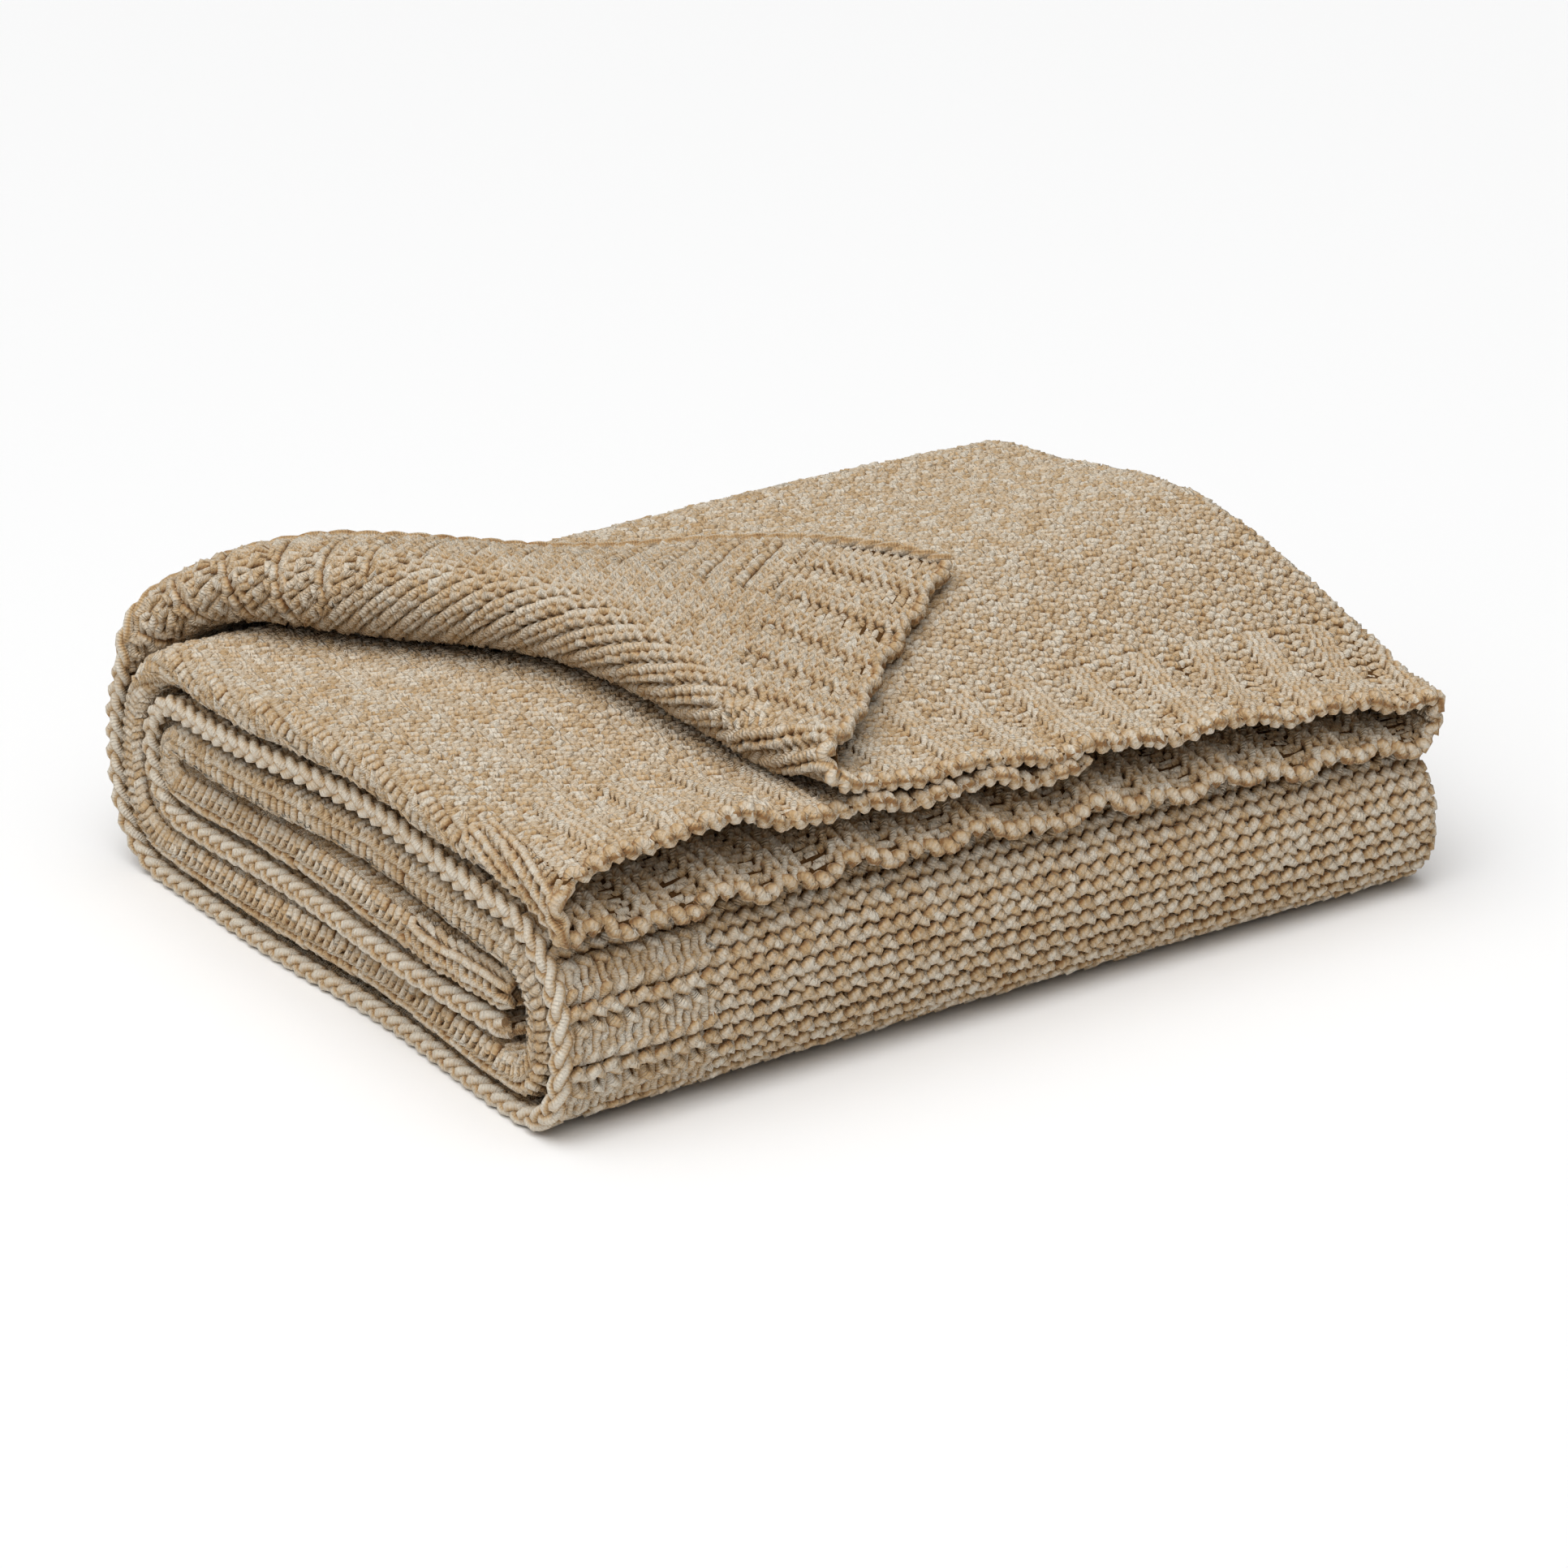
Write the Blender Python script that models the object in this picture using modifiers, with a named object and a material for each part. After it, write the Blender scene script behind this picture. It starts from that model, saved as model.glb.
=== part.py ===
"""Throw blanket: one knitted panel with ribbed borders, folded into a low pile.

X runs along the front of the pile, Y to the back, Z up. All lengths are metres.

Flat, the cloth has w across (the folded width) and s along (the long way).
It is folded twice:
1. Across, like a letter: layer a on the outside, layer c inside, joined by the
   right fold. The narrow layer b is turned in between them by the left fold.
2. Along, as a spiral: top section, outer back fold, bottom section, front fold,
   upper inner section, inner back fold, lower inner section.
The front left corner of layer a is turned back over the top.
"""
import bmesh
import bpy
import numpy as np

# The flat cloth
FLAT_WIDTH = 1.27
FLAT_LENGTH = 1.52
SHEET = 0.0075

# The folded pile
WIDTH = 0.470
DEPTH = 0.382
LAYER_PITCH = 0.0107
BACK_THICKNESS = 0.0321
CROWN_LEFT = 0.0024
CROWN_RIGHT = 0.0040
HEM_SETBACK = 0.0074
INNER_FOLD_SETBACK = 0.0015
LOWER_FULLNESS = 0.13
RISE_POWER = 3.0

# Thickness of one folded section along the front: place in X, thickness
FRONT_THICKNESS = (
    (0.00, 0.0321),
    (0.18, 0.0319),
    (0.25, 0.0299),
    (0.36, 0.0277),
    (0.47, 0.0243),
)

# The letter fold across: reach of each fold in X and flat length of its arc
SELVEDGE_SETBACK = 0.006
RIGHT_REACH = 0.0075
RIGHT_ARC = 0.025
LEFT_REACH = 0.0060
LEFT_ARC = 0.0175

# How far the top section has slid to the left at its hem
TOP_SLIDE = 0.066

# The opening under the top hem
DROOP_SHARE = 0.65
INNER_HEM_LIFT = 0.0012
RUFFLE_HEIGHT = 0.0020
RUFFLE_LENGTH = 0.066
RUFFLE_FADE = 0.035

# The turned back corner: its fold line on the flat cloth, from back left to hem
TURN_START = (0.000, 0.372)
TURN_END = (0.137, 0.000)
TURN_BULGE = 0.034
TURN_RADII = ((0.0, 0.0075), (0.3, 0.0175), (1.0, 0.0085))
TURN_GATHER = 0.04
TURN_FALL = 0.11

# Gentle unevenness of the two ends: reach, wave length along s, phase
LEFT_WAVES = ((0.0015, 0.310, 0.6), (0.0010, 0.170, 2.0))
RIGHT_WAVES = ((0.0015, 0.370, 1.9), (0.0008, 0.190, 0.4))

# How far the right end leans out behind the front edge
RIGHT_LEAN = 0.011
RIGHT_LEAN_START = 0.09

# Slow swell of the whole pile: share of height, wave length in X and in Y
SWELL = (0.012, 0.330, 0.290)

# Grid steps for each part of the cloth, across and along
STEPS_ACROSS = {"a": 14, "right fold": 6, "c": 10, "left fold": 6, "b": 8}
STEPS_ALONG = (14, 9, 6, 9, 6, 7, 6)
HEM_CROWDING = 1.7
TURN_CUTS = 6
MERGE_DISTANCE = 0.0020

# The middle of the pile's underside, so that it stands on the origin
PILE_CENTRE = (0.2400, 0.1910, LAYER_PITCH / 2.0 - SHEET / 2.0)

YARN_COLOUR = (0.60, 0.42, 0.24, 1.0)


def smooth(value):
    """Ease from 0 to 1."""
    value = np.clip(value, 0.0, 1.0)
    return value * value * (3.0 - 2.0 * value)


def front_thickness(x):
    """Thickness of one section at the front edge of the pile."""
    places, sizes = zip(*FRONT_THICKNESS)
    total = 0.0
    for shift in (-0.03, -0.015, 0.0, 0.015, 0.03):
        total = total + np.interp(x + shift, places, sizes)
    return total / 5.0


def top_slide(s):
    """How far layer a has slid to the left at this place along the cloth."""
    return TOP_SLIDE * (1.0 - np.clip(s / TURN_START[1], 0.0, 1.0))


LEFT_X = SHEET / 2.0
RIGHT_X = WIDTH - SHEET / 2.0
A_END = RIGHT_X - RIGHT_REACH - SELVEDGE_SETBACK
C_START = A_END + RIGHT_ARC
C_END = C_START + RIGHT_X - RIGHT_REACH - LEFT_X - LEFT_REACH
B_START = C_END + LEFT_ARC


def across(w):
    """Place in X, and how far round each of the two letter folds, from 0 to 1."""
    right_turn = np.clip((w - A_END) / RIGHT_ARC, 0.0, 1.0)
    left_turn = np.clip((w - C_END) / LEFT_ARC, 0.0, 1.0)
    x = SELVEDGE_SETBACK + np.minimum(w, A_END)
    x = x + RIGHT_REACH * np.sin(np.pi * right_turn)
    x = x - np.clip(w - C_START, 0.0, C_END - C_START)
    x = x - LEFT_REACH * np.sin(np.pi * left_turn)
    x = x + np.maximum(w - B_START, 0.0)
    return x, right_turn, left_turn


def section_starts(x):
    """Flat length at which each part of the spiral begins, for a place in X."""
    thick = front_thickness(x)
    outside = (thick - LAYER_PITCH) / 2.0
    back_outside = (BACK_THICKNESS - LAYER_PITCH) / 2.0
    back_y = DEPTH - 2.0 * BACK_THICKNESS
    lengths = (
        back_y - HEM_SETBACK + 0.0 * x,
        np.pi * (1.5 * BACK_THICKNESS + back_outside) + 0.0 * x,
        back_y - 1.5 * thick,
        np.pi * (thick + outside),
        back_y - INNER_FOLD_SETBACK - 1.5 * thick,
        np.pi * (0.5 * BACK_THICKNESS + back_outside) + 0.0 * x,
    )
    starts = [0.0 * x]
    for length in lengths:
        starts.append(starts[-1] + length)
    return starts


def turn_start(share):
    """Where the corner's roll starts, and its radius, along the fold line."""
    share = np.clip(share, 0.0, 1.0)
    places, sizes = zip(*TURN_RADII)
    radius = 0.0
    for shift in (-0.08, -0.04, 0.0, 0.04, 0.08):
        radius = radius + np.interp(share + shift, places, sizes) / 5.0
    return -TURN_BULGE * np.sin(np.pi * share) - radius, radius


def turned_back(x, s):
    """Roll the front left corner of layer a over its fold line."""
    along = np.array(TURN_END) - np.array(TURN_START)
    length = np.hypot(*along)
    along = along / length
    out = np.array((along[1], -along[0]))
    v = (x - TURN_START[0]) * along[0] + (s - TURN_START[1]) * along[1]
    d = (x - TURN_START[0]) * out[0] + (s - TURN_START[1]) * out[1]
    start, radius = turn_start(v / length)
    gone = np.maximum(d - start, 0.0)
    angle = np.minimum(gone / radius, np.pi)
    past = np.maximum(gone - np.pi * radius, 0.0)
    height = radius * (1.0 - np.cos(angle))
    height = height + (LAYER_PITCH - 2.0 * radius) * smooth(past / TURN_FALL)
    new_d = np.where(gone > 0.0, start + radius * np.sin(angle) - past, d)
    v = v * (1.0 - TURN_GATHER * smooth(past / TURN_FALL))
    new_x = TURN_START[0] + v * along[0] + new_d * out[0]
    new_s = TURN_START[1] + v * along[1] + new_d * out[1]
    return new_x, new_s, np.where(gone > 0.0, height, 0.0)


def waves(s, table):
    """Sum of the slow waves in a table."""
    total = 0.0
    for reach, wave_length, phase in table:
        total = total + reach * np.sin(2.0 * np.pi * s / wave_length + phase)
    return total


def folded(w, s):
    """Carry points of the flat cloth to their places in the pile."""
    x, right_turn, left_turn = across(w)
    lift = np.zeros_like(x)
    on_a = w < A_END
    turned_x, turned_s, turned_lift = turned_back(x, s)
    x = np.where(on_a, turned_x, x)
    s = np.where(on_a, turned_s, s)
    lift = np.where(on_a, turned_lift, lift)

    # Where the strip is: straight sections and half turns
    thick = front_thickness(x)
    starts = section_starts(x)
    front_y = 1.5 * thick
    back_y = DEPTH - 2.0 * BACK_THICKNESS
    inner_y = back_y - INNER_FOLD_SETBACK
    y = HEM_SETBACK + s
    y = np.where(s > starts[1], back_y, y)
    y = np.where(s > starts[2], back_y - (s - starts[2]), y)
    y = np.where(s > starts[3], front_y, y)
    y = np.where(s > starts[4], front_y + (s - starts[4]), y)
    y = np.where(s > starts[5], inner_y, y)
    y = np.where(s > starts[6], inner_y - (s - starts[6]), y)
    reach_back = np.clip((y - front_y) / (back_y - front_y), 0.0, 1.0)
    risen = 1.0 - (1.0 - reach_back) ** RISE_POWER
    local = thick + (BACK_THICKNESS - thick) * risen
    crown = CROWN_LEFT + (CROWN_RIGHT - CROWN_LEFT) * np.clip(x / WIDTH, 0.0, 1.0)
    local = local + crown * np.sin(np.pi * reach_back) ** 2

    # Height of this layer above the middle of its section
    half = (local - LAYER_PITCH) / 2.0
    shoulder = 1.5 * thick + LAYER_PITCH / 2.0
    over = np.clip(front_y - y, 0.0, front_y)
    droop = DROOP_SHARE * (shoulder - np.sqrt(shoulder ** 2 - over ** 2))
    droop = np.where(s < starts[1], droop, 0.0)
    a_height = half
    c_height = -half - droop
    height = a_height + (c_height - a_height) * (1.0 - np.cos(np.pi * right_turn)) / 2.0
    b_share = (1.0 - np.cos(np.pi * left_turn)) / 2.0
    b_height = INNER_HEM_LIFT * np.exp(-s / RUFFLE_FADE)
    height = height + (b_height - c_height) * b_share
    ruffle = RUFFLE_HEIGHT * np.sin(2.0 * np.pi * x / RUFFLE_LENGTH)
    height = height + ruffle * np.exp(-s / RUFFLE_FADE) + lift

    # Round the spiral, with layer a always on the outside
    outer = np.clip((s - starts[1]) / (starts[2] - starts[1]), 0.0, 1.0) * np.pi
    front = np.clip((s - starts[3]) / (starts[4] - starts[3]), 0.0, 1.0) * np.pi
    inner = np.clip((s - starts[5]) / (starts[6] - starts[5]), 0.0, 1.0) * np.pi
    z = 3.5 * local + height
    outer_fullness = np.where(outer > np.pi / 2.0, np.sin(2.0 * outer) ** 2, 0.0)
    outer_radius = (1.5 * BACK_THICKNESS + height) * (1.0 + LOWER_FULLNESS * outer_fullness)
    z = np.where(s > starts[1], 2.0 * BACK_THICKNESS + outer_radius * np.cos(outer), z)
    y = y + np.where(s <= starts[2], outer_radius * np.sin(outer), 0.0)
    z = np.where(s > starts[2], 0.5 * local - height, z)
    front_fullness = np.where(front < np.pi / 2.0, np.sin(2.0 * front) ** 2, 0.0)
    front_radius = (thick + height) * (1.0 + LOWER_FULLNESS * front_fullness)
    z = np.where(s > starts[3], 1.5 * thick - front_radius * np.cos(front), z)
    y = y - np.where(s <= starts[4], front_radius * np.sin(front), 0.0)
    z = np.where(s > starts[4], 2.5 * local + height, z)
    inner_radius = 0.5 * BACK_THICKNESS + height
    z = np.where(s > starts[5], 2.0 * BACK_THICKNESS + inner_radius * np.cos(inner), z)
    y = y + np.where(s <= starts[6], inner_radius * np.sin(inner), 0.0)
    z = np.where(s > starts[6], 1.5 * local - height, z)

    # Unevenness: the ends sway, the pile swells above its flat underside
    x = x + waves(s, LEFT_WAVES) * (1.0 - x / WIDTH) ** 2
    x = x + waves(s, RIGHT_WAVES) * (x / WIDTH) ** 2
    x = x + RIGHT_LEAN * smooth(y / RIGHT_LEAN_START) * np.clip(x / WIDTH, 0.0, None) ** 3
    share, x_length, y_length = SWELL
    swell = np.sin(2.0 * np.pi * x / x_length + 0.8) * np.sin(2.0 * np.pi * y / y_length)
    z = z + share * (z - LAYER_PITCH / 2.0) * swell
    return np.stack((x, y, z), axis=-1) - np.array(PILE_CENTRE)


def grid_lines():
    """Share of the way across for each grid line, and its section of the cloth."""
    lines = []
    for number, steps in enumerate(STEPS_ACROSS.values()):
        lines += [(number, step / steps) for step in range(steps)]
    lines.append((number, 1.0))
    return lines


def flat_grid():
    """Flat places (w, s) of the grid, crowded where the cloth bends."""
    columns = grid_lines()
    rows = []
    for number, steps in enumerate(STEPS_ALONG):
        for step in range(steps):
            share = step / steps
            rows.append((number, share ** HEM_CROWDING if number == 0 else share))
    rows.append((number, 1.0))
    places = np.zeros((len(rows), len(columns), 2))
    for row, (section, share_along) in enumerate(rows):
        for column, (part, share_across) in enumerate(columns):
            w = s = 0.0
            for _ in range(4):
                bounds = (-top_slide(s), A_END, C_START, C_END, B_START,
                          FLAT_WIDTH - top_slide(s))
                w = bounds[part] + share_across * (bounds[part + 1] - bounds[part])
                starts = section_starts(across(w)[0]) + [FLAT_LENGTH]
                s = starts[section] + share_along * (starts[section + 1] - starts[section])
            places[row, column] = (w, s)
    return places


def cut_turned_corner(mesh):
    """Cut the flat cloth along lines beside the corner's fold line."""
    along = np.array(TURN_END) - np.array(TURN_START)
    length = np.hypot(*along)
    along = along / length
    out = np.array((along[1], -along[0]))

    # Straighten the curved fold line, cut beside it, then bend it back
    for vert in mesh.verts:
        x = SELVEDGE_SETBACK + vert.co.x - TURN_START[0]
        s = vert.co.y - TURN_START[1]
        v = x * along[0] + s * along[1]
        start, radius = turn_start(v / length)
        vert.co = (v, (x * out[0] + s * out[1] - start) / radius, vert.co.z)
    for cut in range(TURN_CUTS + 1):
        faces = [f for f in mesh.faces if all(v.co.z < 0.5 for v in f.verts)]
        parts = set(faces)
        for face in faces:
            parts.update(face.edges)
            parts.update(face.verts)
        bmesh.ops.bisect_plane(
            mesh, geom=list(parts), dist=1e-6,
            plane_co=(0.0, np.pi * cut / TURN_CUTS, 0.0), plane_no=(0.0, 1.0, 0.0))
    for vert in mesh.verts:
        start, radius = turn_start(vert.co.x / length)
        d = start + vert.co.y * radius
        x = TURN_START[0] + vert.co.x * along[0] + d * out[0]
        s = TURN_START[1] + vert.co.x * along[1] + d * out[1]
        vert.co = (x - SELVEDGE_SETBACK, s, 0.0)


def build_cloth():
    """The whole throw as one folded sheet."""
    places = flat_grid()
    mesh = bmesh.new()
    verts = []
    for row in places:
        verts.append([])
        for w, s in row:
            # A mark in z keeps the corner's cuts inside layer a of the top section
            mark = 0.0 if w < A_END + 1e-6 and s < 0.45 else 1.0
            verts[-1].append(mesh.verts.new((w, s, mark)))
    for row in range(len(verts) - 1):
        for column in range(len(verts[0]) - 1):
            mesh.faces.new((
                verts[row][column],
                verts[row][column + 1],
                verts[row + 1][column + 1],
                verts[row + 1][column],
            ))
    cut_turned_corner(mesh)
    bmesh.ops.remove_doubles(mesh, verts=mesh.verts[:], dist=MERGE_DISTANCE)
    bmesh.ops.triangulate(mesh, faces=mesh.faces[:], quad_method="SHORT_EDGE")
    flat = np.array([vert.co[:] for vert in mesh.verts])
    points = folded(flat[:, 0], flat[:, 1])
    for vert, point in zip(mesh.verts, points):
        vert.co = point
    data = bpy.data.meshes.new("throw")
    mesh.to_mesh(data)
    mesh.free()
    return data


def yarn_material():
    """Pale sand chenille yarn."""
    material = bpy.data.materials.new("chenille yarn")
    material.use_nodes = True
    shader = material.node_tree.nodes["Principled BSDF"]
    shader.inputs["Base Color"].default_value = YARN_COLOUR
    shader.inputs["Roughness"].default_value = 0.95
    return material


for old in list(bpy.data.objects):
    bpy.data.objects.remove(old)

collection = bpy.data.collections.new("throw blanket")
bpy.context.scene.collection.children.link(collection)
throw = bpy.data.objects.new("throw", build_cloth())
throw.data.materials.append(yarn_material())
collection.objects.link(throw)
solidify = throw.modifiers.new("sheet thickness", "SOLIDIFY")
solidify.thickness = SHEET
solidify.offset = 0.0
solidify.use_even_offset = True
solidify.use_quality_normals = True
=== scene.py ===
import math

import bpy
import numpy as np
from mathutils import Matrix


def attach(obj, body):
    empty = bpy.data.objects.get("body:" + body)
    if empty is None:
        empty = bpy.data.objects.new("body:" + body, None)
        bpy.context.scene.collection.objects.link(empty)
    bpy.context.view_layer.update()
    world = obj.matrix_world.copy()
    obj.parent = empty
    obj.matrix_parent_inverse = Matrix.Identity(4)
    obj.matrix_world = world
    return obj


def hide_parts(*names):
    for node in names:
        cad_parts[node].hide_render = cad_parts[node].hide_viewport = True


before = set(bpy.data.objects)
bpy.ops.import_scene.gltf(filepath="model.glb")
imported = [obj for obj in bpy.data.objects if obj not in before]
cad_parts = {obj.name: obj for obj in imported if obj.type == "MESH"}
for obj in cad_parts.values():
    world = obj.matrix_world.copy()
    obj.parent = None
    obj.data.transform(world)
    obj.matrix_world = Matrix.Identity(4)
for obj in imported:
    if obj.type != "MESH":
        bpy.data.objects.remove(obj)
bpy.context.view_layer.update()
print("frame loaded")

# The throw is one knitted panel of chenille yarn with ribbed borders. It is built stitch by stitch:
# each row of the knit is one looped yarn, carried from the flat cloth into the folded pile.
# Flat, the cloth has u across from its left side edge and s along from its top hem, in metres.

cloth = {
    "flatWidth": 1.27,
    "flatLength": 1.52,
    "width": 0.470,             # of the folded pile
    "depth": 0.382,
    "solidSheet": 0.0075,       # thickness of the sheet in the solid
    "layerPitch": 0.0107,
    "backThickness": 0.0321,
    "crownLeft": 0.0024,
    "crownRight": 0.0040,
    "hemSetback": 0.0074,
    "innerFoldSetback": 0.0015,
    "lowerFullness": 0.13,
    "risePower": 3.0,
    "frontPlaces": (0.00, 0.18, 0.25, 0.36, 0.47),             # places in X
    "frontSizes": (0.0321, 0.0319, 0.0299, 0.0277, 0.0243),    # thickness of a section there
    "frontBlend": (-0.03, -0.015, 0.0, 0.015, 0.03),           # each is averaged over these shifts
    "selvedgeSetback": 0.006,
    "rightReach": 0.0075,
    "rightArc": 0.025,
    "leftReach": 0.0060,
    "leftArc": 0.0175,
    "topSlide": 0.066,          # the top section has slid to the left at its hem
    "droopShare": 0.65,
    "innerHemLift": 0.0012,
    "mouthLift": 0.010,         # the uncovered hem on the left lifts off the mouth
    "mouthLiftAlong": 0.055,
    "mouthLiftAcross": (0.000, 0.050, 0.085, 0.148),     # begins, full, full, ends
    "ruffleHeight": 0.0020,
    "ruffleLength": 0.066,
    "ruffleFade": 0.035,
    "leftWaves": ((0.0015, 0.310, 0.6), (0.0010, 0.170, 2.0)),   # reach, wave length, phase
    "rightWaves": ((0.0015, 0.370, 1.9), (0.0008, 0.190, 0.4)),
    "rightLean": 0.011,
    "rightLeanStart": 0.09,
    "swell": (0.012, 0.330, 0.290, 0.8),                         # share, X and Y length, phase
    "middle": (0.2400, 0.1910),     # of the pile's footprint, which comes to lie on the origin
    "probe": 0.0006,                # the cloth's slope is read this far to each side of a point
}

corner = {                      # the front left corner, turned back over the top
    "start": (0.000, 0.372),    # its fold line on the flat cloth, from the left edge
    "end": (0.137, 0.000),      # to the hem
    "bulge": 0.034,             # how far the fold line bows inwards
    "radiusPlaces": (0.0, 0.3, 1.0),                    # shares of the fold line
    "radii": (0.0075, 0.0175, 0.0085),                  # of the roll there
    "radiusBlend": (-0.08, -0.04, 0.0, 0.04, 0.08),     # each is averaged over these shifts
    "gather": 0.04,
    "fall": 0.11,               # length over which the corner comes down to lie on the top
}

knit = {
    "columns": 159,             # stitches across: 8.0 mm each
    "rowHigh": 0.0052,
    "tautRowHigh": 0.0064,      # on the front fold, which the pile pulls taut
    "tautBlend": 0.02,          # flat length over which the rows grow taut
    "tautGirth": 0.3,           # yarn is plumper by this power of a taut row's width
    "overlap": 0.735,           # reach of a purl loop above and below its row's middle, in rows
    "ropeOverlap": 0.82,
    "loopTurns": (-155, -90, -25, 25, 90, 155),    # degrees round a loop: foot, leg, head, head ...
    "pressedTurns": (-130, -50, 50, 130),          # the same on the underside, which lies pressed
    "bulge": 0.00085,           # how far the sides of a purl loop swing out over its neighbours
    "ropeBulge": 0.00150,       # the same of a knit loop, whose legs lie straight like ropes
    "pinch": 0.00060,           # how far the legs of a purl loop draw together
    "ropePinch": 0.00020,
    "depth": 0.0021,            # how far heads stand forward of the legs
    "ropeDepth": 0.0017,
    "slant": 0.0022,            # heads rise to the right, feet to the left
    "lean": 0.0006,             # heads stand to the right of their feet
    "headLift": 0.0003,         # heads lie over feet
    "ribColumns": 4,            # 2 raised and 2 sunk columns along the hems
    "ribRaise": 0.0018,         # knit columns of a rib stand out, purl ones sink
    "ribSink": 0.0012,
    "ribPull": 0.0009,          # how far raised columns draw together
    "ribFade": 3.0,             # rows over which a rib flattens out
    "hemRows": 13,              # rows of the ribbed hems
    "scallop": 0.0011,          # ribs reach this far over the edge
    "scallopFade": 4.0,         # rows
    "sideColumns": 9,           # stitches of the side borders
    "weltRows": 4,              # 2 rows of knit and 2 of purl along the side edges
    "weltRelief": 0.0003,
    "yarn": 0.0025,             # radius of the plush yarn
    "sides": 5,                 # of the yarn's tube
    "pressedSides": 4,
    "floorGap": 1.06,           # least height of the yarn's middle over the floor, in radii
    "ropeGirth": (0.97, 0.14),  # a knit loop is thicker in its head and thinner in its legs
    "girthSpread": 0.05,        # how much the yarn's thickness varies
    "tone": 0.22,               # how much paler or darker a stretch of yarn is
    "unevenness": 0.00030,      # how far loops lie from their even places
    "edgeUnevenness": 0.7,      # how much more uneven the hem's very edge is
    "seed": 11,                 # of all chance differences
}

leftX = cloth["solidSheet"] / 2
rightX = cloth["width"] - cloth["solidSheet"] / 2
aEnd = rightX - cloth["rightReach"] - cloth["selvedgeSetback"]
cStart = aEnd + cloth["rightArc"]
cEnd = cStart + rightX - cloth["rightReach"] - leftX - cloth["leftReach"]
bStart = cEnd + cloth["leftArc"]
pileCentre = np.array((*cloth["middle"], (cloth["layerPitch"] - cloth["solidSheet"]) / 2))

# Directions along the corner's fold line and out from it
cornerStart = np.array(corner["start"])
cornerAlong = np.array(corner["end"]) - cornerStart
cornerLength = np.hypot(*cornerAlong)
cornerAlong = cornerAlong / cornerLength
cornerOut = np.array((cornerAlong[1], -cornerAlong[0]))


def smooth(value):
    value = np.clip(value, 0.0, 1.0)
    return value * value * (3.0 - 2.0 * value)


def unit(vectors):
    return vectors / np.maximum(np.linalg.norm(vectors, axis=-1, keepdims=True), 1e-12)


def frontThickness(x):
    total = 0.0
    for shift in cloth["frontBlend"]:
        total = total + np.interp(x + shift, cloth["frontPlaces"], cloth["frontSizes"])
    return total / len(cloth["frontBlend"])


def topSlide(s):
    return cloth["topSlide"] * (1.0 - np.clip(s / corner["start"][1], 0.0, 1.0))


def across(w):
    # Place in X and how far round each letter fold, from 0 to 1
    rightTurn = np.clip((w - aEnd) / cloth["rightArc"], 0.0, 1.0)
    leftTurn = np.clip((w - cEnd) / cloth["leftArc"], 0.0, 1.0)
    x = cloth["selvedgeSetback"] + np.minimum(w, aEnd)
    x = x + cloth["rightReach"] * np.sin(np.pi * rightTurn)
    x = x - np.clip(w - cStart, 0.0, cEnd - cStart)
    x = x - cloth["leftReach"] * np.sin(np.pi * leftTurn)
    x = x + np.maximum(w - bStart, 0.0)
    return x, rightTurn, leftTurn


def sectionStarts(x):
    # Flat length at which each straight run and half turn of the spiral begins
    thick = frontThickness(x)
    back = cloth["backThickness"]
    outside = (thick - cloth["layerPitch"]) / 2
    backOutside = (back - cloth["layerPitch"]) / 2
    backY = cloth["depth"] - 2 * back
    lengths = (
        backY - cloth["hemSetback"] + 0 * x,
        np.pi * (1.5 * back + backOutside) + 0 * x,
        backY - 1.5 * thick,
        np.pi * (thick + outside),
        backY - cloth["innerFoldSetback"] - 1.5 * thick,
        np.pi * (0.5 * back + backOutside) + 0 * x,
    )
    starts = [0 * x]
    for length in lengths:
        starts.append(starts[-1] + length)
    return starts


def fromFoldLine(x, s):
    # How far along the corner's fold line, and how far out from it towards the corner
    fromX = x - cornerStart[0]
    fromS = s - cornerStart[1]
    return (fromX * cornerAlong[0] + fromS * cornerAlong[1],
            fromX * cornerOut[0] + fromS * cornerOut[1])


def toCloth(v, d):
    return (cornerStart[0] + v * cornerAlong[0] + d * cornerOut[0],
            cornerStart[1] + v * cornerAlong[1] + d * cornerOut[1])


def rollStart(v):
    # Where the corner's roll begins, out from its fold line, and the roll's radius
    share = np.clip(v / cornerLength, 0.0, 1.0)
    radius = 0.0
    for shift in corner["radiusBlend"]:
        size = np.interp(share + shift, corner["radiusPlaces"], corner["radii"])
        radius = radius + size / len(corner["radiusBlend"])
    return -corner["bulge"] * np.sin(np.pi * share) - radius, radius


def turnedBack(x, s):
    v, d = fromFoldLine(x, s)
    start, radius = rollStart(v)
    gone = np.maximum(d - start, 0.0)
    angle = np.minimum(gone / radius, np.pi)
    past = np.maximum(gone - np.pi * radius, 0.0)
    fallen = smooth(past / corner["fall"])
    height = radius * (1.0 - np.cos(angle)) + (cloth["layerPitch"] - 2 * radius) * fallen
    newD = np.where(gone > 0, start + radius * np.sin(angle) - past, d)
    newX, newS = toCloth(v * (1.0 - corner["gather"] * fallen), newD)
    return newX, newS, np.where(gone > 0, height, 0.0)


def waves(s, table):
    return sum(reach * np.sin(2 * np.pi * s / length + phase) for reach, length, phase in table)


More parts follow.
